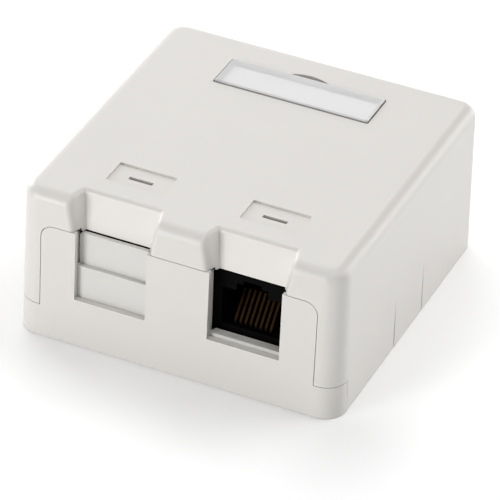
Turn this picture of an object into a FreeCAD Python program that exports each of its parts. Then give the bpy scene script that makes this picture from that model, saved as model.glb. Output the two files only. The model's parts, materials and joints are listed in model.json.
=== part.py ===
"""Two-port surface mount jack box: base, lift-off cover, two-leaf dust shutters, jacks, wiring.

Millimetres, +Z up, origin at the bottom centre, the ports face -Y.
"""
import FreeCAD, Part
import math
import os

import Sketcher

V = FreeCAD.Vector

doc = FreeCAD.newDocument("JackBox")
sheet = doc.addObject("Spreadsheet::Sheet", "Sizes")

SIZES = (
    # housing
    ("box_width", 66.0), ("box_depth", 67.5), ("box_height", 32.0),
    ("draft", 1.0), ("corner_radius", 4.4), ("top_radius", 2.5), ("bottom_break", 0.4),
    ("wall", 2.0), ("roof", 2.0), ("seam", 0.14), ("hidden_seam", 0.15),
    # base
    ("floor_thickness", 2.2), ("plate_gap", 0.3), ("strip_height", 7.1),
    ("panel_leg", 5.2), ("panel_top", 24.95), ("panel_corner", 2.6), ("panel_thick", 1.4),
    ("port_pitch", 27.1), ("notch_half", 7.25), ("sill_height", 10.4),
    ("guide_half", 7.6), ("guide_wall", 1.4), ("guide_drop", 0.95),
    ("pocket_wall", 1.0),
    ("tongue_length", 6.0), ("tongue_thick", 1.2), ("tongue_top", 9.5), ("tongue_gap", 0.25),
    ("tongue_front", 14.75), ("tongue_rear", 17.75),
    ("screw_spacing", 40.0), ("screw_setback", 6.0), ("screw_radius", 2.1), ("screw_sink", 1.3),
    ("boss_radius", 5.0), ("boss_height", 1.0),
    ("tie_spacing", 22.0), ("tie_inset", 6.45), ("tie_length", 9.0), ("tie_width", 3.0),
    ("tie_height", 3.6), ("tie_tunnel", 5.0), ("tie_bridge", 1.4),
    ("rib_setback", 2.5), ("rib_thick", 1.2), ("rib_height", 1.6),
    # cover
    ("chute_half", 7.85), ("chute_back_half", 6.5), ("chute_depth", 4.6), ("chute_foot", 3.05),
    ("chute_drop", 0.5), ("chute_flare", 1.2), ("chute_round", 1.0), ("chute_wall", 1.6),
    ("label_half", 16.2), ("label_length", 9.3), ("label_inset", 8.75), ("label_depth", 1.0),
    ("label_corner", 0.4), ("thumb_half", 4.1), ("thumb_rise", 1.2),
    ("icon_half", 5.85), ("icon_inset", 9.75), ("icon_length", 6.5), ("icon_depth", 0.4),
    ("slot_half", 2.45), ("slot_inset", 3.0), ("slot_width", 0.9),
    ("knock_centre", -0.4), ("knock_half", 7.0), ("knock_top", 12.0), ("knock_line", 0.5),
    ("knock_depth", 0.2),
    ("roof_rib_height", 1.5), ("roof_rib_spacing", 12.0), ("roof_rib_side", 9.0),
    # label
    ("label_gap", 0.25), ("window_rise", 0.45), ("window_rim", 0.9), ("card_thick", 0.25),
    ("card_gap", 0.15), ("window_break", 0.25),
    # shutters
    ("leaf_thick", 0.8), ("leaf_gap", 0.1), ("leaf_side", 0.1), ("upper_side", 0.3),
    ("leaf_overlap", 0.8), ("leaf_lift", 6.2), ("leaf_lip", 0.8), ("leaf_top_gap", 0.2),
    ("open_rise", 0.8), ("foot_height", 1.2), ("foot_wing", 0.6), ("leaf_round", 0.8),
    ("nub_half", 3.0), ("nub_height", 0.8), ("nub_depth", 0.35), ("nub_gap", 0.1),
    # board and jacks
    ("board_side", 2.7), ("board_setback", 2.25), ("board_length", 35.9), ("board_bottom", 9.0),
    ("board_thick", 1.6), ("post_side", 3.5), ("post_inset", 4.0),
    ("post_radius", 2.5), ("pin_radius", 1.2), ("pin_gap", 0.1), ("pin_rise", 1.0),
    ("clip_x", 14.0), ("clip_half", 3.0), ("clip_thick", 1.2), ("clip_gap", 0.15),
    ("clip_lip", 0.7), ("clip_rise", 1.4),
    ("jack_half", 7.8), ("jack_gap", 0.4), ("jack_length", 16.0), ("jack_roof", 1.0),
    ("jack_floor", 1.9), ("cavity_half", 5.95), ("cavity_height", 8.1), ("cavity_depth", 12.4),
    ("latch_half", 3.15), ("latch_rise", 1.6), ("latch_narrow", 1.8), ("latch_peak", 0.8),
    ("contact_pitch", 1.016), ("contact_width", 0.45), ("contact_thick", 0.3),
    ("contact_slot", 0.12), ("contact_lip", 0.95), ("contact_lift", 0.5),
    ("contact_reach", 10.9), ("contact_nose", 0.7), ("contact_lean", 5.2), ("contact_rise", 5.1),
    ("comb_height", 0.8),
    # wiring blocks
    ("block_half", 7.6), ("block_gap", 5.65), ("block_depth", 14.0), ("block_height", 9.0),
    ("row_thick", 3.4), ("bay_floor", 2.4), ("way_pitch", 3.5), ("way_width", 1.0),
    ("way_floor", 3.0), ("blade_half", 1.15), ("blade_thick", 0.4), ("blade_gap", 0.06),
    ("blade_drop", 1.4), ("blade_slit", 0.2), ("blade_mouth", 0.6), ("blade_fork", 4.2),
    ("cap_gap", 0.12), ("cap_wall", 0.9), ("cap_skirt", 4.5), ("cap_round", 0.8),
)

for row, (name, number) in enumerate(SIZES, start=1):
    sheet.set(f"A{row}", name)
    sheet.set(f"B{row}", str(number))
    sheet.setAlias(f"B{row}", name)
doc.recompute()


def bound(text):
    """Expression text with @name standing for a cell of the sheet."""
    return text.replace("@", "Sizes.")


def number(text):
    """The present value of an expression, as a plain float."""
    return float(sheet.evalExpression(bound(text)))


def plane(body, role):
    """The origin plane of a body with the given role."""
    return [f for f in body.Origin.OriginFeatures if f.Role == role][0]


def new_body(label):
    """A PartDesign body whose label names its file."""
    body = doc.addObject("PartDesign::Body", label)
    body.Label = label
    return body


def new_sketch(body, name, role, offset):
    """A sketch flat on one origin plane of its own body, raised by an expression."""
    sketch = body.newObject("Sketcher::SketchObject", name)
    sketch.AttachmentSupport = [(plane(body, role), "")]
    sketch.MapMode = "FlatFace"
    sketch.setExpression("AttachmentOffset.Base.z", bound(offset))
    return sketch


def bind(sketch, kind, places, text):
    """One driving dimension of a sketch, bound to an expression."""
    index = sketch.addConstraint(Sketcher.Constraint(kind, *places, number(text)))
    sketch.setExpression(f"Constraints[{index}]", bound(text))


def polygon(sketch, corners):
    """A closed loop of lines through corners given as pairs of expressions."""
    points = [V(number(u), number(v), 0) for u, v in corners]
    count = len(points)
    first = sketch.GeometryCount
    lines = [Part.LineSegment(points[i], points[(i + 1) % count]) for i in range(count)]
    sketch.addGeometry(lines, False)
    for i in range(count):
        sketch.addConstraint(
            Sketcher.Constraint("Coincident", first + i, 2, first + (i + 1) % count, 1)
        )
    for i, (u, v) in enumerate(corners):
        bind(sketch, "DistanceX", (-1, 1, first + i, 1), u)
        bind(sketch, "DistanceY", (-1, 1, first + i, 1), v)


def rectangle(sketch, low_u, high_u, low_v, high_v):
    """A closed rectangle between four expressions."""
    polygon(sketch, ((low_u, low_v), (high_u, low_v), (high_u, high_v), (low_u, high_v)))


def rounded(sketch, low_u, high_u, low_v, high_v, radius):
    """A rectangle with four equal round corners."""
    a, b, c, d, r = (number(text) for text in (low_u, high_u, low_v, high_v, radius))
    up = V(0, 0, 1)
    quarter = math.pi / 2
    centres = (V(b - r, c + r, 0), V(b - r, d - r, 0), V(a + r, d - r, 0), V(a + r, c + r, 0))
    ends = (
        (V(a + r, c, 0), V(b - r, c, 0)), (V(b, c + r, 0), V(b, d - r, 0)),
        (V(b - r, d, 0), V(a + r, d, 0)), (V(a, d - r, 0), V(a, c + r, 0)),
    )
    first = sketch.GeometryCount
    for i in range(4):
        arc = Part.Circle(centres[i], up, r)
        sketch.addGeometry(Part.LineSegment(*ends[i]), False)
        sketch.addGeometry(Part.ArcOfCircle(arc, (i - 1) * quarter, i * quarter), False)
    for i in range(8):
        sketch.addConstraint(
            Sketcher.Constraint("Tangent", first + i, 2, first + (i + 1) % 8, 1)
        )
    for i in (0, 4):
        sketch.addConstraint(Sketcher.Constraint("Horizontal", first + i))
    for i in (2, 6):
        sketch.addConstraint(Sketcher.Constraint("Vertical", first + i))
    for i in (3, 5, 7):
        sketch.addConstraint(Sketcher.Constraint("Equal", first + 1, first + i))
    bind(sketch, "Radius", (first + 1,), radius)
    bind(sketch, "DistanceX", (-1, 1, first + 6, 1), low_u)
    bind(sketch, "DistanceX", (-1, 1, first + 2, 1), high_u)
    bind(sketch, "DistanceY", (-1, 1, first, 1), low_v)
    bind(sketch, "DistanceY", (-1, 1, first + 4, 1), high_v)


def circle(sketch, centre_u, centre_v, radius):
    """A circle placed and sized by expressions."""
    index = sketch.GeometryCount
    centre = V(number(centre_u), number(centre_v), 0)
    sketch.addGeometry(Part.Circle(centre, V(0, 0, 1), number(radius)), False)
    bind(sketch, "Radius", (index,), radius)
    bind(sketch, "DistanceX", (-1, 1, index, 3), centre_u)
    bind(sketch, "DistanceY", (-1, 1, index, 3), centre_v)


def slab(body, name, role, low, high, draw, cut=False, taper=None):
    """A pad or pocket of what draw puts in a sketch, from low to high along the plane's world axis.

    The XZ plane's normal points to -Y, so there the sketch lies at the high end.
    """
    start = f"-({high})" if role == "XZ_Plane" else low
    sketch = new_sketch(body, f"{name}_sketch", role, start)
    draw(sketch)
    feature = body.newObject("PartDesign::Pocket" if cut else "PartDesign::Pad", name)
    feature.Profile = sketch
    feature.Type = 0
    feature.Reversed = cut
    feature.setExpression("Length", bound(f"({high}) - ({low})"))
    if taper:
        feature.setExpression("TaperAngle", bound(taper))
    return feature


def block(body, name, x, y, z, cut=False):
    """A plain box between pairs of expressions, padded or pocketed upwards."""
    return slab(body, name, "XY_Plane", z[0], z[1], lambda s: rectangle(s, *x, *y), cut)


def edge_names(shape, wanted):
    """Names of the edges of a shape for which wanted(edge) is true."""
    return [f"Edge{i}" for i, edge in enumerate(shape.Edges, start=1) if wanted(edge)]


def dress(body, kind, name, wanted, text):
    """A fillet or chamfer on the edges of the body's tip that wanted picks."""
    doc.recompute()
    base = body.Tip
    names = edge_names(base.Shape, wanted)
    if not names:
        raise RuntimeError(f"{body.Label}: no edge for {name}")
    feature = body.newObject(f"PartDesign::{kind}", name)
    feature.Base = (base, names)
    feature.setExpression("Radius" if kind == "Fillet" else "Size", bound(text))
    return feature


def near(value, target, slack=0.02):
    """Whether two lengths agree."""
    return abs(value - target) < slack


def flat_at(edge, height):
    """Whether an edge lies level at a height."""
    box = edge.BoundBox
    return near(box.ZMin, height) and near(box.ZMax, height)


SIDES = (("left", "-@port_pitch / 2", -1), ("right", "@port_pitch / 2", 1))
FRONT = "(-@box_depth / 2)"
LEAN = "tan(@draft * 1 deg)"
TANGENT = f"({FRONT} + @corner_radius)"
BACK = "(@box_depth / 2)"
PANEL_HALF = "(@box_width / 2 - @panel_leg)"
PANEL_BACK = f"({FRONT} + @panel_thick)"
PLATE_X = "(@box_width / 2 - @wall - @plate_gap)"
PLATE_Y = "(@box_depth / 2 - @wall - @plate_gap)"
CHUTE_BOTTOM = "(@panel_top - @chute_drop)"

# leaves of the shutters, one behind the other from the panel inwards
LOWER_FRONT = f"({PANEL_BACK} + @leaf_gap)"
LOWER_BACK = f"({LOWER_FRONT} + @leaf_thick)"
UPPER_FRONT = f"({LOWER_BACK} + @leaf_gap)"
UPPER_BACK = f"({UPPER_FRONT} + @leaf_thick)"
LOWER_CLOSED = "(@sill_height - @leaf_overlap)"
UPPER_CLOSED = f"({LOWER_CLOSED} + @leaf_lift)"
LOWER_HEIGHT = "(@leaf_lift + @nub_height + @leaf_lip)"
UPPER_HEIGHT = f"({CHUTE_BOTTOM} - @leaf_top_gap - {UPPER_CLOSED})"
OPEN_TOP = "(@sill_height + @open_rise)"

# what stands on the circuit board, from the jacks' faces backwards
JACK = f"({UPPER_BACK} + @jack_gap)"
BOARD_FRONT = f"({JACK} + @board_setback)"
BOARD_BACK = f"({BOARD_FRONT} + @board_length)"
BOARD_HALF = f"({PLATE_X} - @board_side)"
BOARD_TOP = "(@board_bottom + @board_thick)"
POST_X = f"({BOARD_HALF} - @post_side)"
POST_ROWS = (f"({BOARD_FRONT} + @post_inset)", f"({BOARD_BACK} - @post_inset)")
CAVITY_BOTTOM = f"({BOARD_TOP} + @jack_floor)"
CAVITY_TOP = f"({CAVITY_BOTTOM} + @cavity_height)"
LATCH_TOP = f"({CAVITY_TOP} + @latch_rise)"
LATCH_PEAK = f"({LATCH_TOP} + @latch_peak)"
JACK_TOP = f"({LATCH_PEAK} + @jack_roof)"
BLOCK_FRONT = f"({JACK} + @jack_length + @block_gap)"
BLOCK_BACK = f"({BLOCK_FRONT} + @block_depth)"
BLOCK_TOP = f"({BOARD_TOP} + @block_height)"
BLADE_TOP = f"({BLOCK_TOP} - @blade_drop)"
SCREW_Y = f"({BOARD_BACK} + @screw_setback)"
TIE_Y = f"({PLATE_Y} - @tie_inset)"
RIB_Y = f"({BOARD_BACK} + @rib_setback)"

# recesses in the cover's top
LABEL_BACK = f"({BACK} - @label_inset)"
LABEL_FRONT = f"({LABEL_BACK} - @label_length)"
ICON_FRONT = f"({FRONT} + @icon_inset)"
SLOT_Y = f"({ICON_FRONT} + @slot_inset)"


def outline(sketch):
    """The box's footprint."""
    rounded(sketch, "-@box_width / 2", "@box_width / 2", "-@box_depth / 2", "@box_depth / 2",
            "@corner_radius")


# ---------------------------------------------------------------- base
base = new_body("base")
slab(base, "footprint", "XY_Plane", "0", "@strip_height", outline, taper="-@draft")
dress(base, "Fillet", "bottom_edge", lambda e: flat_at(e, 0), "@bottom_break")

# the plate stands inside the cover's walls; only the front strip reaches the outside


def rim(sketch):
    """Everything outside the plate, behind the front strip."""
    far_x, far_y = "(@box_width / 2 + 5)", "(@box_depth / 2 + 5)"
    polygon(sketch, (
        (f"-{far_x}", TANGENT), (f"-{PLATE_X}", TANGENT), (f"-{PLATE_X}", PLATE_Y),
        (PLATE_X, PLATE_Y), (PLATE_X, TANGENT), (far_x, TANGENT), (far_x, far_y),
        (f"-{far_x}", far_y),
    ))


slab(base, "rim_clearance", "XY_Plane", "-1", "@strip_height + 1", rim, cut=True)
dress(base, "Fillet", "plate_corners",
      lambda e: near(e.BoundBox.YMax, number(PLATE_Y)) and near(e.BoundBox.YLength, 0)
      and near(e.BoundBox.XLength, 0), "@corner_radius - @wall - @plate_gap")
block(base, "tray", ("-@box_width / 2 + @wall", "@box_width / 2 - @wall"),
      (f"{PANEL_BACK}", "@box_depth / 2"), ("@floor_thickness", "@strip_height + 1"), cut=True)


def panel_section(sketch):
    """Side view of the front panel, its face on the same draft as the cover."""
    polygon(sketch, (
        (f"{FRONT} + @floor_thickness * {LEAN}", "@floor_thickness"),
        (f"{PANEL_BACK}", "@floor_thickness"), (f"{PANEL_BACK}", "@panel_top"),
        (f"{FRONT} + @panel_top * {LEAN}", "@panel_top"),
    ))


slab(base, "panel", "YZ_Plane", f"-{PANEL_HALF}", f"{PANEL_HALF}", panel_section)
dress(base, "Fillet", "panel_corners",
      lambda e: near(e.BoundBox.ZMin, number("@panel_top")) and near(e.BoundBox.XLength, 0)
      and near(abs(e.BoundBox.XMin), number(f"{PANEL_HALF}")), "@panel_corner")

for side, port, sign in SIDES:
    slab(base, f"notch_{side}", "XZ_Plane", "-@box_depth / 2 - 1", f"{PANEL_BACK} + 0.5",
         lambda s: rectangle(s, f"{port} - @notch_half", f"{port} + @notch_half",
                             "@sill_height", "@panel_top + 1"), cut=True)
    for hand, way in (("a", "-"), ("b", "+")):
        inner = f"{port} {way} @guide_half"
        outer = f"{port} {way} (@guide_half + @guide_wall)"
        pair = (outer, inner) if way == "-" else (inner, outer)
        block(base, f"guide_{side}_{hand}", pair, (f"{PANEL_BACK} - 0.3", f"{UPPER_BACK}"),
              ("@floor_thickness - 0.2", "@panel_top - @guide_drop"))
        wing = f"{port} {way} (@guide_half + @foot_wing + @leaf_side)"
        pair = (wing, inner) if way == "-" else (inner, wing)
        block(base, f"foot_track_{side}_{hand}", pair,
              (f"{PANEL_BACK}", f"{PANEL_BACK} + @leaf_thick + 2 * @leaf_gap"),
              ("@floor_thickness", f"{LOWER_CLOSED} + @foot_height + @leaf_gap"), cut=True)
    block(base, f"pocket_back_{side}",
          (f"{port} - @guide_half - @guide_wall", f"{port} + @guide_half + @guide_wall"),
          (f"{UPPER_BACK} + @leaf_gap", f"{UPPER_BACK} + @leaf_gap + @pocket_wall"),
          ("@floor_thickness - 0.2", "@board_bottom - @leaf_gap * 2"))

for name, y in zip(("front", "rear"), POST_ROWS):
    slab(base, f"posts_{name}", "XY_Plane", "@floor_thickness - 0.2", "@board_bottom",
         lambda s: [circle(s, f"{way}{POST_X}", y, "@post_radius") for way in ("-", "")])
    slab(base, f"pins_{name}", "XY_Plane", "@board_bottom - 0.5", f"{BOARD_TOP} + @pin_rise",
         lambda s: [circle(s, f"{way}{POST_X}", y, "@pin_radius") for way in ("-", "")])

CLIP = f"({BOARD_BACK} + @clip_gap)"


def clip_section(sketch):
    """Springy arm behind the board with a sloping lip over its edge."""
    polygon(sketch, (
        (CLIP, "@floor_thickness - 0.2"), (f"{CLIP} + @clip_thick", "@floor_thickness - 0.2"),
        (f"{CLIP} + @clip_thick", f"{BOARD_TOP} + @clip_gap + @clip_rise"),
        (f"{CLIP} + 0.3", f"{BOARD_TOP} + @clip_gap + @clip_rise"),
        (f"{BOARD_BACK} - @clip_lip", f"{BOARD_TOP} + @clip_gap"),
        (CLIP, f"{BOARD_TOP} + @clip_gap"),
    ))


for side, sign in (("left", "-"), ("right", "")):
    slab(base, f"board_clip_{side}", "YZ_Plane", f"{sign}@clip_x - @clip_half",
         f"{sign}@clip_x + @clip_half", clip_section)

# tongues that locate the cover's side walls
for name, y in (("front", f"({FRONT} + @tongue_front)"), ("rear", f"({BACK} - @tongue_rear)")):
    outer = f"({PLATE_X} - @tongue_gap)"
    for hand, low, high in (("a", f"-{outer}", f"-{outer} + @tongue_thick"),
                            ("b", f"{outer} - @tongue_thick", outer)):
        block(base, f"tongue_{name}_{hand}", (low, high),
              (f"{y} - @tongue_length / 2", f"{y} + @tongue_length / 2"),
              ("@floor_thickness - 0.2", "@tongue_top"))

# wall screw bosses, cable-tie bridges and a cross rib
slab(base, "screw_bosses", "XY_Plane", "@floor_thickness - 0.2", "@floor_thickness + @boss_height",
     lambda s: [circle(s, f"{way}@screw_spacing / 2", f"{SCREW_Y}", "@boss_radius")
                for way in ("-", "")])
slab(base, "screw_holes", "XY_Plane", "-1", "@floor_thickness + @boss_height + 1",
     lambda s: [circle(s, f"{way}@screw_spacing / 2", f"{SCREW_Y}", "@screw_radius")
                for way in ("-", "")], cut=True)
dress(base, "Chamfer", "screw_sinks",
      lambda e: flat_at(e, number("@floor_thickness + @boss_height"))
      and near(e.BoundBox.XLength, 2 * number("@screw_radius")), "@screw_sink")
for side, sign in (("left", "-"), ("right", "")):
    x = f"{sign}@tie_spacing / 2"
    block(base, f"tie_bar_{side}", (f"{x} - @tie_length / 2", f"{x} + @tie_length / 2"),
          (f"{TIE_Y} - @tie_width / 2", f"{TIE_Y} + @tie_width / 2"),
          ("@floor_thickness - 0.2", "@floor_thickness + @tie_height"))
    block(base, f"tie_tunnel_{side}", (f"{x} - @tie_tunnel / 2", f"{x} + @tie_tunnel / 2"),
          (f"{TIE_Y} - @tie_width / 2 - 1", f"{TIE_Y} + @tie_width / 2 + 1"),
          ("@floor_thickness", "@floor_thickness + @tie_height - @tie_bridge"), cut=True)
block(base, "cross_rib", (f"-{BOARD_HALF}", f"{BOARD_HALF}"),
      (f"{RIB_Y} - @rib_thick / 2", f"{RIB_Y} + @rib_thick / 2"),
      ("@floor_thickness - 0.2", "@floor_thickness + @rib_height"))

# ---------------------------------------------------------------- cover
cover = new_body("cover")
slab(cover, "shell", "XY_Plane", "0", "@box_height", outline, taper="-@draft")
dress(cover, "Fillet", "top_edge", lambda e: flat_at(e, number("@box_height")), "@top_radius")
dress(cover, "Fillet", "bottom_edge", lambda e: flat_at(e, 0), "@bottom_break")


def inside(sketch):
    """The shell's inner outline at the bottom."""
    rounded(sketch, "-@box_width / 2 + @wall", "@box_width / 2 - @wall",
            "-@box_depth / 2 + @wall", "@box_depth / 2 - @wall", "@corner_radius - @wall")


slab(cover, "hollow", "XY_Plane", "0", "@box_height - @roof", inside, cut=True, taper="-@draft")

ROOF_IN = "(@box_height - @roof)"
for side, port, sign in SIDES:
    block(cover, f"chute_shell_{side}",
          (f"{port} - @chute_half - @chute_flare - @chute_wall",
           f"{port} + @chute_half + @chute_flare + @chute_wall"),
          (f"{FRONT} + @wall", f"{FRONT} + @box_height * {LEAN} + @chute_depth + @chute_wall"),
          ("@panel_top + @seam", f"{ROOF_IN} + 0.2"))
    block(cover, f"chute_lip_{side}",
          (f"{port} - @notch_half + @leaf_side", f"{port} + @notch_half - @leaf_side"),
          (f"{PANEL_BACK} + @seam",
           f"{FRONT} + @box_height * {LEAN} + @chute_depth - 0.1"),
          (f"{CHUTE_BOTTOM}", "@panel_top + @seam + 0.1"))


FLARE = f"(@chute_flare / (@box_height - {CHUTE_BOTTOM}))"


def chute_section(port, depth, height):
    """Plan view of a finger chute at a height: wide mouth, narrower back, flared upwards."""
    mouth = f"({FRONT} + {height} * {LEAN})"
    spread = f"({height} - {CHUTE_BOTTOM}) * {FLARE}"
    wide, narrow = f"(@chute_half + {spread})", f"(@chute_back_half + {spread})"

    def draw(sketch):
        polygon(sketch, (
            (f"{port} - {wide}", f"{FRONT} - 3"), (f"{port} + {wide}", f"{FRONT} - 3"),
            (f"{port} + {wide}", mouth), (f"{port} + {narrow}", f"{mouth} + {depth}"),
            (f"{port} - {narrow}", f"{mouth} + {depth}"), (f"{port} - {wide}", mouth),
        ))

    return draw


SLOPE = f"((@chute_depth - @chute_foot) / (@box_height - {CHUTE_BOTTOM}))"
for side, port, sign in SIDES:
    sections = []
    for end, height in (("low", f"({CHUTE_BOTTOM} - 1)"), ("high", "(@box_height + 1)")):
        sketch = new_sketch(cover, f"chute_{end}_{side}", "XY_Plane", height)
        depth = f"(@chute_foot + ({height} - {CHUTE_BOTTOM}) * {SLOPE})"
        chute_section(port, depth, height)(sketch)
        sections.append(sketch)
    loft = cover.newObject("PartDesign::SubtractiveLoft", f"chute_{side}")
    loft.Profile = sections[0]
    loft.Sections = [sections[1]]
    loft.Ruled = True



def chute_rim(edge):
    """Whether an edge is on the outer rim of a finger chute: mouth, sides or back."""
    box = edge.BoundBox
    middle = math.copysign(number("@port_pitch / 2"), edge.CenterOfMass.x)
    low, high = sorted((abs(box.XMin - middle), abs(box.XMax - middle)))
    if high > number("@chute_half + @chute_flare") + 0.1:
        return False
    top = number("@box_height")
    mouth = low > number("@chute_half") - 0.1 and box.ZMax > top - number("@top_radius") - 0.1
    side = low > number("@chute_back_half") - 0.1 and box.ZMax > top - 0.1 and box.YLength > 0.5
    back = box.XLength > number("@chute_back_half") and box.ZMin > top - 0.1
    front = box.YMin < number(f"{FRONT} + @chute_depth + @wall")
    return front and (mouth or side and box.ZLength < number("@top_radius") + 0.1 or back)


dress(cover, "Fillet", "chute_rims", chute_rim, "@chute_round")

# opening for the base's front panel, and for its low strip round the corners
WALL_IN = f"({FRONT} + @wall + @box_height * {LEAN})"
slab(cover, "panel_opening", "XZ_Plane", "-@box_depth / 2 - 1", f"{WALL_IN} + @seam",
     lambda s: rounded(s, f"-{PANEL_HALF} - @seam", f"{PANEL_HALF} + @seam", "-@strip_height",
                       "@panel_top + @seam", "@panel_corner + @seam"), cut=True)
block(cover, "strip_opening", ("-@box_width / 2 - 1", "@box_width / 2 + 1"),
      ("-@box_depth / 2 - 1", f"{TANGENT} + @hidden_seam"), ("-1", "@strip_height + @seam"),
      cut=True)

# label recess with a thumb notch in its back edge
LABEL_FLOOR = "(@box_height - @label_depth)"
slab(cover, "label_recess", "XY_Plane", LABEL_FLOOR, "@box_height + 1",
     lambda s: rounded(s, "-@label_half", "@label_half", f"{LABEL_FRONT}", f"{LABEL_BACK}",
                       "@label_corner"), cut=True)


def thumb(sketch):
    """A shallow arc over a chord on the recess's back edge."""
    half, rise = number("@thumb_half"), number("@thumb_rise")
    radius = (half * half + rise * rise) / (2 * rise)
    centre = V(0, number(f"{LABEL_BACK}") + rise - radius, 0)
    angle = math.asin(half / radius)
    arc = Part.ArcOfCircle(Part.Circle(centre, V(0, 0, 1), radius), math.pi / 2 - angle,
                           math.pi / 2 + angle)
    left, right = V(-half, number(f"{LABEL_BACK}"), 0), V(half, number(f"{LABEL_BACK}"), 0)
    sketch.addGeometry(arc, False)
    sketch.addGeometry(Part.LineSegment(left, right), False)
    sketch.addConstraint(Sketcher.Constraint("Coincident", 0, 2, 1, 1))
    sketch.addConstraint(Sketcher.Constraint("Coincident", 0, 1, 1, 2))
    bind(sketch, "DistanceX", (-1, 1, 1, 1), "-@thumb_half")
    bind(sketch, "DistanceX", (-1, 1, 1, 2), "@thumb_half")
    bind(sketch, "DistanceY", (-1, 1, 1, 1), f"{LABEL_BACK}")
    bind(sketch, "DistanceY", (-1, 1, 1, 2), f"{LABEL_BACK}")
    bind(sketch, "Radius", (0,), "(@thumb_half ^ 2 + @thumb_rise ^ 2) / (2 * @thumb_rise)")


slab(cover, "thumb_notch", "XY_Plane", LABEL_FLOOR, "@box_height + 1", thumb, cut=True)
for side, port, sign in SIDES:
    slab(cover, f"icon_recess_{side}", "XY_Plane", "@box_height - @icon_depth", "@box_height + 1",
         lambda s: rounded(s, f"{port} - @icon_half", f"{port} + @icon_half", f"{ICON_FRONT}",
                           f"{ICON_FRONT} + @icon_length", "@label_corner"), cut=True)
    block(cover, f"icon_slot_{side}", (f"{port} - @slot_half", f"{port} + @slot_half"),
          (f"{SLOT_Y} - @slot_width / 2", f"{SLOT_Y} + @slot_width / 2"),
          (f"{ROOF_IN} - 1", "@box_height + 1"), cut=True)


def knock_line(low, high):
    """An arch-shaped score line that runs off the bottom edge."""

    def draw(sketch):
        top, line = "@knock_top", "@knock_line"
        polygon(sketch, (
            (low, "-1"), (f"{low} + {line}", "-1"), (f"{low} + {line}", f"{top} - {line}"),
            (f"{high} - {line}", f"{top} - {line}"), (f"{high} - {line}", "-1"), (high, "-1"),
            (high, top), (low, top),
        ))

    return draw


side_line = knock_line("@knock_centre - @knock_half", "@knock_centre + @knock_half")
slab(cover, "knock_right", "YZ_Plane", "@box_width / 2 - @knock_depth", "@box_width / 2 + 1",
     side_line, cut=True)
slab(cover, "knock_left", "YZ_Plane", "-@box_width / 2 - 1", "-@box_width / 2 + @knock_depth",
     side_line, cut=True)
slab(cover, "knock_back", "XZ_Plane", "@box_depth / 2 - @knock_depth", "@box_depth / 2 + 1",
     knock_line("-@knock_half", "@knock_half"), cut=True)
for i in range(3):
    block(cover, f"roof_rib_{i + 1}",
          ("-(@box_width / 2 - @roof_rib_side)", "(@box_width / 2 - @roof_rib_side)"),
          (f"(@roof_rib_spacing * {i - 1}) - @rib_thick / 2 - 2",
           f"(@roof_rib_spacing * {i - 1}) + @rib_thick / 2 - 2"),
          (f"{ROOF_IN} - @roof_rib_height", f"{ROOF_IN} + 0.2"))

# ---------------------------------------------------------------- label card and window
window = new_body("label_window")
WINDOW_TOP = "(@box_height + @window_rise)"
slab(window, "plate", "XY_Plane", LABEL_FLOOR, WINDOW_TOP,
     lambda s: rounded(s, "-@label_half + @label_gap", "@label_half - @label_gap",
                       f"{LABEL_FRONT} + @label_gap", f"{LABEL_BACK} - @label_gap",
                       "@label_corner"))
dress(window, "Chamfer", "top_break", lambda e: flat_at(e, number(WINDOW_TOP)), "@window_break")
RIM = "(@label_gap + @window_rim)"
block(window, "card_space", (f"-@label_half + {RIM}", f"@label_half - {RIM}"),
      (f"{LABEL_FRONT} + {RIM}", f"{LABEL_BACK} - {RIM}"),
      (f"{LABEL_FLOOR} - 1", f"{LABEL_FLOOR} + @card_thick + @card_gap"), cut=True)
card = new_body("label_card")
SHRINK = f"({RIM} + @card_gap)"
block(card, "sheet", (f"-@label_half + {SHRINK}", f"@label_half - {SHRINK}"),
      (f"{LABEL_FRONT} + {SHRINK}", f"{LABEL_BACK} - {SHRINK}"),
      (LABEL_FLOOR, f"{LABEL_FLOOR} + @card_thick"))

# ---------------------------------------------------------------- shutters
def lower_leaf(side, port, bottom):
    """Front leaf: slides behind the panel, with foot wings in the guide tracks."""
    body = new_body(f"shutter_lower_{side}")
    half = "(@guide_half - @leaf_side)"
    block(body, "leaf", (f"{port} - {half}", f"{port} + {half}"), (LOWER_FRONT, LOWER_BACK),
          (bottom, f"{bottom} + {LOWER_HEIGHT}"))
    wing = f"({half} + @foot_wing)"
    block(body, "foot", (f"{port} - {wing}", f"{port} + {wing}"), (LOWER_FRONT, LOWER_BACK),
          (bottom, f"{bottom} + @foot_height"))
    block(body, "channel", (f"{port} - @nub_half - @nub_gap", f"{port} + @nub_half + @nub_gap"),
          (f"{LOWER_BACK} - @nub_depth", f"{LOWER_BACK} + 1"),
          (f"{bottom} - 1", f"{bottom} + @leaf_lift + @nub_height + @nub_gap"),
          cut=True)
    return body


def upper_leaf(side, port, bottom):
    """Rear leaf: rounded top corners and a nub that rides in the front leaf's channel."""
    body = new_body(f"shutter_upper_{side}")
    half = "(@guide_half - @upper_side)"
    block(body, "leaf", (f"{port} - {half}", f"{port} + {half}"), (UPPER_FRONT, UPPER_BACK),
          (bottom, f"{bottom} + {UPPER_HEIGHT}"))
    top = number(f"{bottom} + {UPPER_HEIGHT}")
    edge = number(half)
    middle = number(port)
    dress(body, "Fillet", "top_corners",
          lambda e: flat_at(e, top) and near(abs(e.BoundBox.XMin - middle), edge)
          and near(e.BoundBox.XLength, 0), "@leaf_round")
    block(body, "nub", (f"{port} - @nub_half", f"{port} + @nub_half"),
          (f"{UPPER_FRONT} - @nub_depth", f"{UPPER_FRONT} + 0.2"),
          (bottom, f"{bottom} + @nub_height"))
    return body


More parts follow.
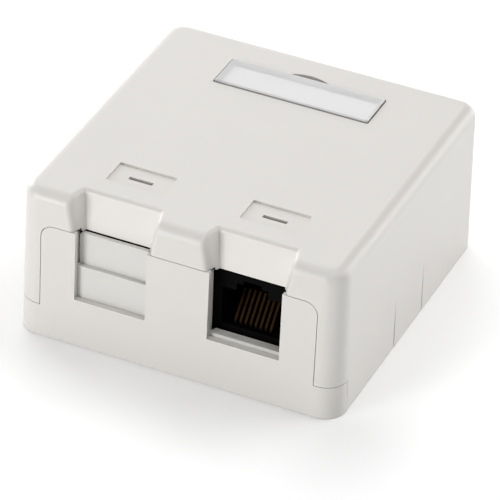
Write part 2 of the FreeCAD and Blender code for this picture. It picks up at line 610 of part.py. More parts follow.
shut = (f"{LOWER_CLOSED}", f"{UPPER_CLOSED}")
down = (f"({OPEN_TOP} - {LOWER_HEIGHT})", f"({OPEN_TOP} - {UPPER_HEIGHT})")
for (side, port, sign), (low, high) in zip(SIDES, (shut, down)):
    lower_leaf(side, port, low)
    upper_leaf(side, port, high)

# ---------------------------------------------------------------- circuit board
board = new_body("circuit_board")
block(board, "laminate", (f"-{BOARD_HALF}", f"{BOARD_HALF}"), (f"{BOARD_FRONT}", f"{BOARD_BACK}"),
      ("@board_bottom", BOARD_TOP))
slab(board, "pin_holes", "XY_Plane", "@board_bottom - 1", f"{BOARD_TOP} + 1",
     lambda s: [circle(s, f"{way}{POST_X}", y, "@pin_radius + @pin_gap")
                for way in ("-", "") for y in POST_ROWS], cut=True)

# ---------------------------------------------------------------- jacks and their contacts
def jack_housing(side, port):
    """Jack housing with a stepped plug cavity and a comb of contact slots in its floor."""
    body = new_body(f"jack_{side}")
    block(body, "housing", (f"{port} - @jack_half", f"{port} + @jack_half"),
          (JACK, f"{JACK} + @jack_length"), (BOARD_TOP, f"{JACK_TOP}"))
    for name, half, low, high in (
        ("cavity", "@cavity_half", f"{CAVITY_BOTTOM}", f"{CAVITY_TOP}"),
        ("latch_step", "@latch_half", f"{CAVITY_TOP} - 0.5", f"{LATCH_TOP}"),
        ("latch_peak", "@latch_narrow", f"{LATCH_TOP} - 0.5", LATCH_PEAK),
    ):
        slab(body, name, "XZ_Plane", f"{JACK} - 1", f"{JACK} + @cavity_depth",
             lambda s: rectangle(s, f"{port} - {half}", f"{port} + {half}", low, high), cut=True)
    comb = "(@contact_pitch * 4)"
    block(body, "comb_bank", (f"{port} - {comb}", f"{port} + {comb}"),
          (f"{JACK} + @contact_lip * 3", f"{JACK} + @cavity_depth + 0.2"),
          (f"{CAVITY_BOTTOM} - 0.2", f"{CAVITY_BOTTOM} + @comb_height"))
    slot = "(@contact_width / 2 + @contact_slot)"
    tail = f"({JACK} + @contact_reach)"

    def slots(sketch):
        for i in range(8):
            x = f"({port} + @contact_pitch * {i - 3.5})"
            rectangle(sketch, f"{x} - {slot}", f"{x} + {slot}", f"{JACK} + @contact_lip",
                      f"{tail} + @contact_thick + @contact_slot")

    slab(body, "contact_slots", "XY_Plane", f"{BOARD_TOP} - 1",
         f"{CAVITY_BOTTOM} + @comb_height + 0.5", slots, cut=True)
    return body


def contact(side, port, index):
    """Spring contact: foot on the board, run under the floor, then up and back at the plug."""
    body = new_body(f"contact_{side}_{index + 1}")
    x = f"({port} + @contact_pitch * {index - 3.5})"
    nose = f"({JACK} + @contact_lip + @contact_slot)"
    thick = "@contact_thick"
    run = f"({BOARD_TOP} + @contact_lift)"
    tail = f"({JACK} + @contact_reach)"
    bend = f"({CAVITY_BOTTOM} + @contact_nose)"
    tip_y = f"({JACK} + @contact_lean)"
    tip = f"({CAVITY_BOTTOM} + @contact_rise)"

    def strip(sketch):
        polygon(sketch, (
            (f"{tail} + {thick}", BOARD_TOP),
            (f"{tail} + {thick}", f"{run} + {thick}"),
            (f"{nose} + {thick}", f"{run} + {thick}"),
            (f"{nose} + {thick}", f"{bend} - {thick} / 3"),
            (f"{tip_y} + {thick} * 0.8", f"{tip}"),
            (f"{tip_y}", f"{tip} + {thick} * 0.7"),
            (nose, f"{bend}"), (nose, f"{run}"),
            (f"{tail}", f"{run}"), (f"{tail}", BOARD_TOP),
        ))

    slab(body, "strip", "YZ_Plane", f"{x} - @contact_width / 2", f"{x} + @contact_width / 2",
         strip)
    return body


for side, port, sign in SIDES:
    jack_housing(side, port)
    for index in range(8):
        contact(side, port, index)

# ---------------------------------------------------------------- wiring blocks, blades and caps
ROWS = (
    (f"{BLOCK_FRONT}", f"{BLOCK_FRONT} + @row_thick"),
    (f"{BLOCK_BACK} - @row_thick", f"{BLOCK_BACK}"),
)


def blade_spots(port):
    """Centre x and y of the eight blades of one block."""
    for low, high in ROWS:
        for i in range(4):
            yield f"({port} + @way_pitch * {i - 1.5})", f"(({low} + {high}) / 2)"


def wiring_block(side, port):
    """Two rows of wire ways with an open bay between them."""
    body = new_body(f"idc_block_{side}")
    block(body, "body", (f"{port} - @block_half", f"{port} + @block_half"),
          (f"{BLOCK_FRONT}", f"{BLOCK_BACK}"), (BOARD_TOP, f"{BLOCK_TOP}"))
    block(body, "bay", (f"{port} - @block_half - 1", f"{port} + @block_half + 1"),
          (f"{BLOCK_FRONT} + @row_thick", f"{BLOCK_BACK} - @row_thick"),
          (f"{BOARD_TOP} + @bay_floor", f"{BLOCK_TOP} + 1"), cut=True)

    def ways(sketch):
        for i in range(4):
            x = f"({port} + @way_pitch * {i - 1.5})"
            rectangle(sketch, f"{x} - @way_width / 2", f"{x} + @way_width / 2", f"{BOARD_TOP} + @way_floor",
                      f"{BLOCK_TOP} + 1")

    slab(body, "wire_ways", "XZ_Plane", f"{BLOCK_FRONT} - 1", f"{BLOCK_BACK} + 1", ways, cut=True)

    def seats(sketch):
        for x, y in blade_spots(port):
            half, thin = "(@blade_half + @blade_gap)", "(@blade_thick / 2 + @blade_gap)"
            rectangle(sketch, f"{x} - {half}", f"{x} + {half}", f"{y} - {thin}", f"{y} + {thin}")

    slab(body, "blade_seats", "XY_Plane", f"{BOARD_TOP} - 1", f"{BLOCK_TOP} + 1", seats, cut=True)
    return body


def blade(side, index, x, y):
    """Forked blade that cuts through a wire's insulation."""
    body = new_body(f"idc_blade_{side}_{index + 1}")
    root = f"({BLADE_TOP} - @blade_fork)"

    def fork(sketch):
        polygon(sketch, (
            (f"{x} - @blade_half", BOARD_TOP), (f"{x} + @blade_half", BOARD_TOP),
            (f"{x} + @blade_half", f"{BLADE_TOP}"), (f"{x} + @blade_mouth", f"{BLADE_TOP}"),
            (f"{x} + @blade_slit", f"{BLADE_TOP} - @blade_mouth * 2"), (f"{x} + @blade_slit", root),
            (f"{x} - @blade_slit", root), (f"{x} - @blade_slit", f"{BLADE_TOP} - @blade_mouth * 2"),
            (f"{x} - @blade_mouth", f"{BLADE_TOP}"), (f"{x} - @blade_half", f"{BLADE_TOP}"),
        ))

    slab(body, "fork", "XZ_Plane", f"{y} - @blade_thick / 2", f"{y} + @blade_thick / 2", fork)
    return body


def wiring_cap(side, port):
    """Dust cap that sits on the block, with skirts at its two ends."""
    body = new_body(f"wiring_cap_{side}")
    outer = "(@block_half + @cap_gap + @cap_wall)"
    inner = "(@block_half + @cap_gap)"
    block(body, "cap", (f"{port} - {outer}", f"{port} + {outer}"),
          (f"{BLOCK_FRONT}", f"{BLOCK_BACK}"), (f"{BLOCK_TOP} - @cap_skirt", f"{BLOCK_TOP} + @cap_wall"))
    top = number(f"{BLOCK_TOP} + @cap_wall")
    dress(body, "Fillet", "cap_edges",
          lambda e: flat_at(e, top) and near(e.BoundBox.XLength, 0), "@cap_round")
    block(body, "under", (f"{port} - {inner}", f"{port} + {inner}"),
          (f"{BLOCK_FRONT} - 1", f"{BLOCK_BACK} + 1"),
          (f"{BLOCK_TOP} - @cap_skirt - 1", f"{BLOCK_TOP}"), cut=True)
    return body


for side, port, sign in SIDES:
    wiring_block(side, port)
    for index, (x, y) in enumerate(blade_spots(port)):
        blade(side, index, x, y)
    wiring_cap(side, port)

# ---------------------------------------------------------------- checks and export
doc.recompute()
for item in doc.Objects:
    bad = {"Invalid", "Error"} & set(item.State)
    if bad:
        raise RuntimeError(f"{item.Name}: {item.State}")
bodies = [item for item in doc.Objects if item.TypeId == "PartDesign::Body"]
for body in bodies:
    if body.Shape.isNull() or not body.Shape.isValid() or body.Shape.Volume <= 0:
        raise RuntimeError(f"{body.Label}: bad shape")
    if len(body.Shape.Solids) != 1:
        raise RuntimeError(f"{body.Label}: {len(body.Shape.Solids)} solids")
os.makedirs("parts", exist_ok=True)
for body in bodies:
    body.Shape.exportStep(f"parts/{body.Label}.step")
    box = body.Shape.BoundBox
    print(f"{body.Label}: {body.Shape.Volume:.1f} mm3, z {box.ZMin:.2f} to {box.ZMax:.2f}")
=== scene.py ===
"""Look of a two-port surface mount jack box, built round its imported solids.

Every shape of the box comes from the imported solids. This script gives each one a finish, and adds
the floor, the lights and the camera. Lengths are in metres, or in millimetres where a name ends in
_mm.
"""

from __future__ import annotations

import json
import logging
import math
from dataclasses import dataclass
from enum import Enum
from typing import Iterable, Union

import bmesh
import bpy
from mathutils import Matrix, Vector

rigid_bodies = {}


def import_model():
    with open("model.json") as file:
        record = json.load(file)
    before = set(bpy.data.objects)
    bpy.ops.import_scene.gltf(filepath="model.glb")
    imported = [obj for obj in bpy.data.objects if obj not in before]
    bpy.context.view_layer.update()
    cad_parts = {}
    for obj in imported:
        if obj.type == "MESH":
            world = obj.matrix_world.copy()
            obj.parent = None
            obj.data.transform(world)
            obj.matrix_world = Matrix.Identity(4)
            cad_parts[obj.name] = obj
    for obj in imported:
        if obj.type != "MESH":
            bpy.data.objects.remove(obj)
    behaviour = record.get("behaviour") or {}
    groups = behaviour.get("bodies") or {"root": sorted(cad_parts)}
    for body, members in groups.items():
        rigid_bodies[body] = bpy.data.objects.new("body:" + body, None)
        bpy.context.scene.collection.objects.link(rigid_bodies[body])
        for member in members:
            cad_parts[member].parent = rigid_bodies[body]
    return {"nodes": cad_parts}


LOG = logging.getLogger("jack_box")
MM = 0.001
NOISE_MIDDLE = 0.5
Colour = tuple[float, float, float]
Value = Union["Wire", float, Colour]


class Graph:
    """Node tree of one material, with one method that makes any node."""

    def __init__(self, name: str) -> None:
        """Start an empty material.

        Args:
            name: the material's name.
        """
        self.material = bpy.data.materials.new(name)
        self.material.use_nodes = True
        self.tree = self.material.node_tree
        self.tree.nodes.clear()

    def node(self, kind: str, settings: dict[str, object] | None = None,
             **inputs: object) -> bpy.types.Node:
        """Make a node, apply its settings, then fill its sockets.

        Args:
            kind: the node's Blender type.
            settings: the node's own attributes.
            inputs: socket name with underscores for spaces, or _ and an index, to value or link.

        Returns:
            The new node.
        """
        made = self.tree.nodes.new(kind)
        for key, value in (settings or {}).items():
            setattr(made, key, value)
        for key, value in inputs.items():
            index = int(key[1:]) if key.startswith("_") else key.replace("_", " ")
            socket = made.inputs[index]
            if isinstance(value, Wire):
                self.tree.links.new(value.socket, socket)
            elif isinstance(value, tuple) and len(value) == 3 and socket.type == "RGBA":
                socket.default_value = (*value, 1.0)
            else:
                socket.default_value = value
        return made

    def wire(self, made: bpy.types.Node, name: str | int = 0) -> "Wire":
        """Wrap one output of a node."""
        return Wire(self, made.outputs[name])

    def place(self) -> "Wire":
        """The surface point in the object's own coordinates."""
        return self.wire(self.node("ShaderNodeTexCoord"), "Object")

    def axes(self, at: "Wire | None" = None) -> tuple["Wire", "Wire", "Wire"]:
        """The x, y and z of a vector, by default of the surface point in metres."""
        made = self.node("ShaderNodeSeparateXYZ", Vector=at or self.place())
        return self.wire(made, "X"), self.wire(made, "Y"), self.wire(made, "Z")

    def ease(self, value: "Wire", start: float, end: float, low: float = 0.0,
             high: float = 1.0) -> "Wire":
        """A smooth step.

        Args:
            value: what the step follows.
            start: value at which the step leaves low.
            end: value at which it reaches high.
            low: result before the step.
            high: result after it.

        Returns:
            The stepped value.
        """
        made = self.node("ShaderNodeMapRange", {"interpolation_type": "SMOOTHSTEP"}, _0=value,
                         _1=start, _2=end, _3=low, _4=high)
        return self.wire(made)

    def noise(self, size_mm: float, detail: float = 2.0, at: "Wire | None" = None) -> "Wire":
        """Noise from 0 to 1 with features of a given size.

        Args:
            size_mm: rough size of a feature.
            detail: octaves.
            at: where to sample, by default the surface point.

        Returns:
            The noise value.
        """
        made = self.node("ShaderNodeTexNoise", Vector=at or self.place(),
                         Scale=1.0 / (size_mm * MM), Detail=detail)
        return self.wire(made, "Fac")

    def mix(self, factor: Value, low: Value, high: Value) -> "Wire":
        """Blend two colours by a factor, through the node's colour sockets: 6, 7 and output 2."""
        made = self.node("ShaderNodeMix", {"data_type": "RGBA"}, _0=factor, _6=low, _7=high)
        return self.wire(made, 2)

    def bump(self, height: "Wire", depth_mm: float) -> "Wire":
        """The normal of a height from 0 to 1 that is depth_mm deep."""
        made = self.node("ShaderNodeBump", Height=height, Distance=depth_mm * MM, Strength=1.0)
        return self.wire(made, "Normal")

    def shade(self, **inputs: object) -> bpy.types.Material:
        """Close the tree with one Principled shader.

        Args:
            inputs: sockets of the Principled shader.

        Returns:
            The finished material.
        """
        shader = self.node("ShaderNodeBsdfPrincipled", **inputs)
        self.node("ShaderNodeOutputMaterial", Surface=self.wire(shader))
        return self.material


@dataclass(frozen=True)
class Wire:
    """A value in a shader tree that takes part in Python expressions."""

    graph: Graph
    socket: bpy.types.NodeSocket

    def _do(self, operation: str, first: Value, second: Value = 0.0) -> "Wire":
        """Add one Math node.

        Args:
            operation: the Math node's operation.
            first: its first value.
            second: its second value.

        Returns:
            The result.
        """
        made = self.graph.node("ShaderNodeMath", {"operation": operation}, _0=first, _1=second)
        return self.graph.wire(made)

    def __add__(self, other: Value) -> "Wire":
        """self + other."""
        return self._do("ADD", self, other)

    def __radd__(self, other: Value) -> "Wire":
        """other + self."""
        return self._do("ADD", other, self)

    def __sub__(self, other: Value) -> "Wire":
        """self - other."""
        return self._do("SUBTRACT", self, other)

    def __rsub__(self, other: Value) -> "Wire":
        """other - self."""
        return self._do("SUBTRACT", other, self)

    def __mul__(self, other: Value) -> "Wire":
        """self * other."""
        return self._do("MULTIPLY", self, other)

    def __rmul__(self, other: Value) -> "Wire":
        """other * self."""
        return self._do("MULTIPLY", other, self)

    def __pow__(self, other: Value) -> "Wire":
        """self to the power of other."""
        return self._do("POWER", self, other)

    def __rpow__(self, other: Value) -> "Wire":
        """other to the power of self."""
        return self._do("POWER", other, self)

    def __abs__(self) -> "Wire":
        """self without its sign."""
        return self._do("ABSOLUTE", self)

    def fraction(self) -> "Wire":
        """The part of self after the decimal point."""
        return self._do("FRACT", self)

    def __gt__(self, other: Value) -> "Wire":
        """1 where self is above other, else 0."""
        return self._do("GREATER_THAN", self, other)

    def __lt__(self, other: Value) -> "Wire":
        """1 where self is below other, else 0."""
        return self._do("LESS_THAN", self, other)


class Grain(Enum):
    """How a moulded surface is textured: size and depth of the grain in millimetres."""

    SPARK = (0.22, 0.010)
    SATIN = (0.12, 0.004)


@dataclass(frozen=True)
class MouldedPlastic:
    """An opaque moulded plastic with faint shade drift and a fine grain.

    The shade wanders from colour to drift over drift_mm, and the gloss with it. Specks of dust_mm
    are rougher by dust_gloss where their noise is over dust_level.
    """

    name: str
    colour: Colour
    drift: Colour
    roughness: float
    grain: Grain
    specular: float = 0.5
    drift_mm: float = 14.0
    drift_gloss: float = 0.08
    dust_mm: float = 0.9
    dust_level: float = 0.70
    dust_gloss: float = 0.03

    def skin(self, graph: Graph) -> tuple[Wire, Wire]:
        """Colour and roughness over the surface.

        Args:
            graph: the material's tree.

        Returns:
            The colour and the roughness.
        """
        flow = graph.noise(self.drift_mm, detail=3.0)
        dust = graph.noise(self.dust_mm, detail=4.0) > self.dust_level
        colour = graph.mix(flow, self.colour, self.drift)
        gloss = (flow - NOISE_MIDDLE) * self.drift_gloss + dust * self.dust_gloss
        return colour, self.roughness + gloss

    def material(self) -> bpy.types.Material:
        """Build the plastic's material.

        Returns:
            The material.
        """
        graph = Graph(self.name)
        colour, roughness = self.skin(graph)
        size_mm, depth_mm = self.grain.value
        return graph.shade(
            Base_Color=colour,
            Roughness=roughness,
            Normal=graph.bump(graph.noise(size_mm), depth_mm),
            Specular_IOR_Level=self.specular,
        )


@dataclass(frozen=True)
class HousingPlastic(MouldedPlastic):
    """The housing's plastic, with painted light that makes the two finger chutes lighter, and
    smoother there.

    A chute reaches half_width_mm to each side of its port. The painted light and the smoother gloss
    ease in with the distance behind the front, and out with the height over the roof, which is
    below zero in the chute.
    """

    port_x_mm: float = 13.55
    front_y_mm: float = -33.75
    roof_z_mm: float = 32.0
    half_width_mm: float = 9.2
    reach_mm: float = 6.0
    ease_in_mm: tuple[float, float] = (0.8, 2.9)
    ease_out_mm: tuple[float, float] = (-1.1, -0.1)
    # painted light: the chute walls are coloured lighter than the rest, for the light that falls
    # into them
    chute_painted_light_colour: Colour = (0.748, 0.725, 0.693)
    chute_gloss: float = -0.10

    def skin(self, graph: Graph) -> tuple[Wire, Wire]:
        """Colour and roughness over the surface, with painted light and less roughness in the
        chutes.

        Args:
            graph: the material's tree.

        Returns:
            The colour and the roughness.
        """
        colour, roughness = super().skin(graph)
        x, y, z = (axis * (1.0 / MM) for axis in graph.axes())
        behind = y - self.front_y_mm
        beside = abs(abs(x) - self.port_x_mm)
        # where the chutes are: this mask paints light into their colour and makes them smoother
        chute = (
            graph.ease(behind, *self.ease_in_mm)
            * (behind < self.reach_mm)
            * (beside < self.half_width_mm)
            * (1.0 - graph.ease(z - self.roof_z_mm, *self.ease_out_mm))
        )
        return graph.mix(chute, colour, self.chute_painted_light_colour), roughness + chute * self.chute_gloss


@dataclass(frozen=True)
class PlatedMetal:
    """A thin plated strip with drawn lines and slight tarnish.

    Tarnish sets in where the noise of spot_mm is over spot_level, the faster the higher spot_gain.
    Lines of line_mm, drawn out by line_stretch, vary the gloss and stand line_depth_mm high.
    """

    name: str
    colour: Colour
    tarnish: Colour
    roughness: float
    spot_mm: float = 1.1
    spot_level: float = 0.45
    spot_gain: float = 2.0
    line_mm: float = 0.6
    line_stretch: tuple[float, float, float] = (9.0, 0.4, 0.4)
    line_gloss: float = 0.15
    line_depth_mm: float = 0.004

    def material(self) -> bpy.types.Material:
        """Build the metal's material.

        Returns:
            The material.
        """
        graph = Graph(self.name)
        spots = (graph.noise(self.spot_mm, detail=4.0) - self.spot_level) * self.spot_gain
        stretched = graph.node("ShaderNodeMapping", {"vector_type": "POINT"},
                               Vector=graph.place(), Scale=self.line_stretch)
        lines = graph.noise(self.line_mm, at=graph.wire(stretched))
        return graph.shade(
            Base_Color=graph.mix(spots, self.colour, self.tarnish),
            Metallic=1.0,
            Roughness=self.roughness + (lines - NOISE_MIDDLE) * self.line_gloss,
            Normal=graph.bump(lines, self.line_depth_mm),
        )


@dataclass(frozen=True)
class ClearPlastic:
    """The translucent window over the label, with painted shade on its cut sides for the dark edges
    of clear plastic.

    A surface counts as a face where its normal rises or falls by more than flat_above.
    """

    name: str = "clear_window"
    haze_mm: float = 3.0
    haze_gloss: float = 0.05
    wave_mm: float = 5.0
    wave_depth_mm: float = 0.01
    roughness: float = 0.12
    face: Colour = (0.90, 0.895, 0.905)
    # painted shade: the cut sides are coloured dark grey for the dark look of clear plastic edges
    side: Colour = (0.40, 0.39, 0.38)
    face_alpha: float = 0.55
    side_alpha: float = 0.80
    flat_above: float = 0.55

    def material(self) -> bpy.types.Material:
        """Build the clear material.

        Returns:
            The material.
        """
        graph = Graph(self.name)
        haze = graph.noise(self.haze_mm, detail=3.0)
        wave = graph.noise(self.wave_mm, detail=1.0)
        _, _, rise = graph.axes(graph.wire(graph.node("ShaderNodeNewGeometry"), "Normal"))
        flat = abs(rise) > self.flat_above
        return graph.shade(
            # painted shade on the cut sides, clear colour on the faces
            Base_Color=graph.mix(flat, self.side, self.face),
            Roughness=self.roughness + haze * self.haze_gloss,
            Normal=graph.bump(wave, self.wave_depth_mm),
            Alpha=self.side_alpha + flat * (self.face_alpha - self.side_alpha),
            IOR=1.49,
            Coat_Weight=0.5,
            Coat_Roughness=0.05,
        )


@dataclass(frozen=True)
class LabelPaper:
    """White card with faint fibres."""

    name: str = "label_paper"
    colour: Colour = (0.80, 0.79, 0.80)
    fibre: Colour = (0.76, 0.75, 0.76)
    fibre_mm: float = 0.35
    fibre_depth_mm: float = 0.02

    def material(self) -> bpy.types.Material:
        """Build the paper's material.

        Returns:
            The material.
        """
        graph = Graph(self.name)
        fibres = graph.noise(self.fibre_mm, detail=5.0)
        return graph.shade(
            Base_Color=graph.mix(fibres, self.colour, self.fibre),
            Roughness=0.85,
            Normal=graph.bump(fibres, self.fibre_depth_mm),
            Specular_IOR_Level=0.3,
        )


@dataclass(frozen=True)
class SolderMask:
    """Green solder mask over copper tracks, with a woven laminate under it.

    Tracks run from front to back, one to a pitch, between its two edges (as shares of the pitch).
    They step sideways by rear_shift pitches behind the middle of the part, and by bend_shift
    pitches in patches of bend_mm.
    """

    name: str = "solder_mask"
    mask: Colour = (0.012, 0.11, 0.045)
    track: Colour = (0.03, 0.20, 0.08)
    pitch_mm: float = 2.032
    edges: tuple[float, float] = (0.30, 0.62)
    rear_shift: float = 0.35
    bend_shift: float = 0.5
    bend_mm: float = 9.0
    bend_level: float = 0.52
    weave_scale: float = 420.0
    track_height: float = 0.8
    weave_height: float = 0.1
    relief_mm: float = 0.03
    roughness: float = 0.28
    haze_mm: float = 2.0
    haze_gloss: float = 0.1

    def material(self) -> bpy.types.Material:
        """Build the board's material.

        Returns:
            The material.
        """
        graph = Graph(self.name)
        x, y, _ = graph.axes()
        bend = graph.noise(self.bend_mm, detail=0.0) > self.bend_level
        shift = (y > 0.0) * self.rear_shift + bend * self.bend_shift
        lane = (x * (1.0 / (self.pitch_mm * MM)) + shift).fraction()
        left, right = self.edges
        track = (lane > left) * (lane < right)
        weave = graph.node("ShaderNodeTexWave", {"wave_type": "BANDS", "bands_direction": "X"},
                           Vector=graph.place(), Scale=self.weave_scale, Distortion=0.4)
        height = track * self.track_height + graph.wire(weave, "Fac") * self.weave_height
        return graph.shade(
            Base_Color=graph.mix(track, self.mask, self.track),
            Roughness=self.roughness + graph.noise(self.haze_mm) * self.haze_gloss,
            Normal=graph.bump(height, self.relief_mm),
            Coat_Weight=0.3,
        )


@dataclass(frozen=True)
class StudioFloor:
    """The seamless pale floor, whose glow grows with the distance from the box, so the weaker glow
    near the box paints a shadow round it.

    At the start of fade_mm the glow is near_share of its full strength, at the end all of it.
    """

    name: str = "studio_floor"
    grey: float = 0.90
    cloud: float = 0.01
    cloud_mm: float = 60.0
    glow: float = 0.20
    near_share: float = 0.53
    half_size_mm: tuple[float, float] = (33.0, 33.75)
    fade_mm: tuple[float, float] = (3.0, 26.0)

    def material(self) -> bpy.types.Material:
        """Build the floor's material.

        Returns:
            The material.
        """
        graph = Graph(self.name)
        clouds = graph.noise(self.cloud_mm)
        past = [abs(axis) * (1.0 / MM) - half
                for axis, half in zip(graph.axes(), self.half_size_mm)]
        x, y = (distance * (distance > 0.0) for distance in past)
        # painted shadow: less glow near the box, full glow further out
        share = graph.ease((x * x + y * y) ** 0.5, *self.fade_mm, low=self.near_share)
        return graph.shade(
            Base_Color=graph.mix(clouds, (self.grey,) * 3, (self.grey - self.cloud,) * 3),
            Roughness=0.7,
            Specular_IOR_Level=0.1,
            Emission_Color=graph.mix(share, (0.0, 0.0, 0.0), (1.0, 1.0, 1.0)),
            Emission_Strength=self.glow,
        )


def dress(node: bpy.types.Object, finish: bpy.types.Material) -> None:
    """Give a piece one finish.

    Args:
        node: the piece.
        finish: its material.
    """
    slots = node.data.materials
    slots.clear()
    slots.append(finish)


@dataclass
class Assembly:
    """Pieces of the box that belong together."""

    nodes: dict[str, bpy.types.Object]

    def dress_all(self, start: str, finish: bpy.types.Material) -> list[str]:
        """Give one finish to each piece whose name begins in one way.

        Args:
            start: how the names begin.
            finish: the material.

        Returns:
            The names of the pieces.
        """
        names = [name for name in self.nodes if name.startswith(start)]
        for name in names:
            dress(self.nodes[name], finish)
        return names


@dataclass
class Housing(Assembly):
    """Base and cover of the box."""

    plastic: HousingPlastic = HousingPlastic(
        "housing_abs", (0.686, 0.664, 0.635), (0.671, 0.651, 0.624), 0.40, Grain.SPARK)

    def build(self) -> list[str]:
        """Dress base and cover, and give the names of the pieces."""
        finish = self.plastic.material()
        return self.dress_all("base", finish) + self.dress_all("cover", finish)


@dataclass
class LabelStrip(Assembly):
    """The clear window and the card under it."""

    window: ClearPlastic = ClearPlastic()
    paper: LabelPaper = LabelPaper()

    def build(self) -> list[str]:
        """Dress window and card, and give the names of the pieces."""
        return (self.dress_all("label_window", self.window.material())
                + self.dress_all("label_card", self.paper.material()))


@dataclass
class Shutters(Assembly):
    """Both two-leaf dust shutters."""

    plastic: MouldedPlastic = MouldedPlastic(
        "shutter_abs", (0.655, 0.644, 0.614), (0.642, 0.632, 0.604), 0.36, Grain.SATIN)

    def build(self) -> list[str]:
        """Dress the leaves, and give the names of the pieces."""
        return self.dress_all("shutter_", self.plastic.material())


@dataclass
class Sockets(Assembly):
    """The two black jack housings and their sixteen contacts, both darker than the real materials
    as painted shade inside the jacks.
    """

    # black plastic, darker than real black plastic: part real colour, part painted shade in the
    # cavities
    plastic: MouldedPlastic = MouldedPlastic(
        "jack_black_painted_shade", (0.0015, 0.0015, 0.0015), (0.002, 0.002, 0.002), 0.5, Grain.SATIN, 0.03)
    # painted shade: the gold and its tarnish are far darker than real gold, for the shade deep in
    # the jack
    gold: PlatedMetal = PlatedMetal(
        "contact_gold_painted_shade", (0.060, 0.030, 0.012), (0.030, 0.016, 0.008), 0.36)

    def build(self) -> list[str]:
        """Dress jacks and contacts, and give the names of the pieces."""
        return (self.dress_all("jack_", self.plastic.material())
                + self.dress_all("contact_", self.gold.material()))


@dataclass
class Wiring(Assembly):
    """Circuit board, wiring blocks, blades and caps."""

    mask: SolderMask = SolderMask()
    block: MouldedPlastic = MouldedPlastic(
        "block_natural", (0.66, 0.66, 0.63), (0.62, 0.62, 0.60), 0.35, Grain.SATIN)
    tin: PlatedMetal = PlatedMetal("blade_tin", (0.72, 0.71, 0.68), (0.55, 0.54, 0.52), 0.30)
    cap: MouldedPlastic = MouldedPlastic(
        "cap_natural", (0.78, 0.78, 0.76), (0.74, 0.74, 0.73), 0.30, Grain.SATIN)

    def build(self) -> list[str]:
        """Dress everything that carries the wires, and give the names of the pieces."""
        return (self.dress_all("circuit_board", self.mask.material())
                + self.dress_all("idc_block", self.block.material())
                + self.dress_all("idc_blade", self.tin.material())
                + self.dress_all("wiring_cap", self.cap.material()))


def toward_sky(azimuth: float, elevation: float) -> Vector:
    """The direction at an azimuth from the front and an elevation.

    Args:
        azimuth: degrees from -Y towards +X.
        elevation: degrees above the floor.

    Returns:
        The unit vector.
    """
    turn, rise = math.radians(azimuth), math.radians(elevation)
    return Vector((math.sin(turn) * math.cos(rise), -math.cos(turn) * math.cos(rise),
                   math.sin(rise)))


@dataclass(frozen=True)
class Softbox:
    """One square area light, aimed at the box. Angles are in degrees, power in watts."""

    name: str
    azimuth: float
    elevation: float
    size: float
    power: float
    distance: float = 1.0
    aim: tuple[float, float, float] = (0.0, 0.0, 0.015)

    def hang(self) -> None:
        """Add the light to the scene."""
        lamp = bpy.data.lights.new(self.name, "AREA")
        lamp.shape = "SQUARE"
        lamp.size = self.size
        lamp.energy = self.power
        made = bpy.data.objects.new(self.name, lamp)
        away = toward_sky(self.azimuth, self.elevation)
        made.location = Vector(self.aim) + self.distance * away
        made.rotation_euler = (-away).to_track_quat("-Z", "Y").to_euler()
        bpy.context.scene.collection.objects.link(made)


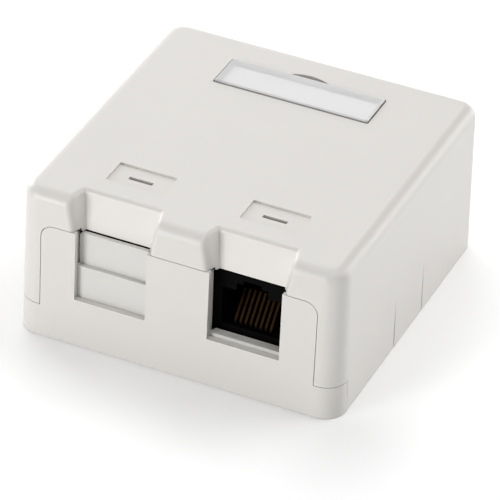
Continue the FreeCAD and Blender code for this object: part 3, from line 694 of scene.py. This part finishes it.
@dataclass
class Studio:
    """Floor, lights and camera.

    The camera looks at a point look_height over the middle of the floor, then turns a little:
    aim_right and aim_up are the tangents of that turn. Angles are in degrees.
    """

    azimuth: float = 23.13
    elevation: float = 34.20
    roll: float = 2.458
    distance: float = 0.7556
    look_height: float = 0.015
    aim_right: float = -0.000504
    aim_up: float = -0.008069
    lens_mm: float = 287.3
    sensor_mm: float = 36.0
    sky: float = 0.01
    floor_half: float = 4.0
    floor_cells: int = 8
    floor_drop: float = 0.00002
    boxes: tuple[Softbox, ...] = (
        Softbox("front_low", -30.0, 12.0, 0.40, 5.95),
        Softbox("left_low", -120.0, 12.0, 0.40, 4.47),
        Softbox("rear_left_low", -150.0, 12.0, 0.40, 0.90),
        Softbox("rear_right_low", 150.0, 12.0, 0.40, 2.44),
        Softbox("right_low", 120.0, 12.0, 0.40, 0.85),
        Softbox("rear_left", -150.0, 42.0, 0.55, 2.04),
        Softbox("rear_right", 120.0, 42.0, 0.55, 3.09),
        Softbox("high_left", -135.0, 68.0, 0.55, 1.51),
        Softbox("high_front", 45.0, 68.0, 0.55, 2.47),
        Softbox("high_right", 135.0, 68.0, 0.55, 0.58),
        Softbox("overhead", 0.0, 89.9, 0.55, 0.38),
    )

    def build(self) -> None:
        """Set up the whole studio."""
        self._floor()
        self._sky()
        for softbox in self.boxes:
            softbox.hang()
        self._camera()
        bpy.context.scene.view_settings.view_transform = "Standard"

    def _floor(self) -> None:
        """Lay the floor, just under the box so that their surfaces don't coincide."""
        mesh = bpy.data.meshes.new("floor")
        shape = bmesh.new()
        bmesh.ops.create_grid(shape, x_segments=self.floor_cells, y_segments=self.floor_cells,
                              size=self.floor_half)
        shape.to_mesh(mesh)
        shape.free()
        made = bpy.data.objects.new("floor", mesh)
        made.location.z = -self.floor_drop
        bpy.context.scene.collection.objects.link(made)
        dress(made, StudioFloor().material())

    def _sky(self) -> None:
        """Light the scene from all sides."""
        world = bpy.data.worlds.new("studio")
        world.use_nodes = True
        back = world.node_tree.nodes["Background"]
        back.inputs["Color"].default_value = (1.0, 1.0, 1.0, 1.0)
        back.inputs["Strength"].default_value = self.sky
        bpy.context.scene.world = world

    def _camera(self) -> None:
        """Place the camera at the wanted view."""
        turn, roll = math.radians(self.azimuth), math.radians(self.roll)
        back = toward_sky(self.azimuth, self.elevation)
        level = Vector((math.cos(turn), math.sin(turn), 0.0))
        upright = back.cross(level)
        right = math.cos(roll) * level + math.sin(roll) * upright
        up = math.cos(roll) * upright - math.sin(roll) * level
        toward = (-back + self.aim_right * right + self.aim_up * up).normalized()
        side = toward.cross(up).normalized()
        axes = Matrix((side, side.cross(toward), -toward)).transposed()
        place = back * self.distance + Vector((0.0, 0.0, self.look_height))
        camera = bpy.data.cameras.new("camera")
        camera.lens = self.lens_mm
        camera.sensor_width = self.sensor_mm
        made = bpy.data.objects.new("camera", camera)
        made.matrix_world = Matrix.Translation(place) @ axes.to_4x4()
        bpy.context.scene.collection.objects.link(made)
        bpy.context.scene.camera = made


def report(names: Iterable[str]) -> None:
    """Log each finished piece.

    Args:
        names: the pieces.
    """
    for name in names:
        LOG.info("finished %s", name)


def main() -> None:
    """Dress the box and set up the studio."""
    logging.basicConfig(level=logging.INFO, format="%(message)s")
    for old in list(bpy.data.objects):
        bpy.data.objects.remove(old)
    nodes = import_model()["nodes"]
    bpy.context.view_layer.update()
    for assembly in (Housing(nodes), LabelStrip(nodes), Shutters(nodes), Sockets(nodes),
                     Wiring(nodes)):
        report(assembly.build())
    Studio().build()


if __name__ == "__main__":
    main()
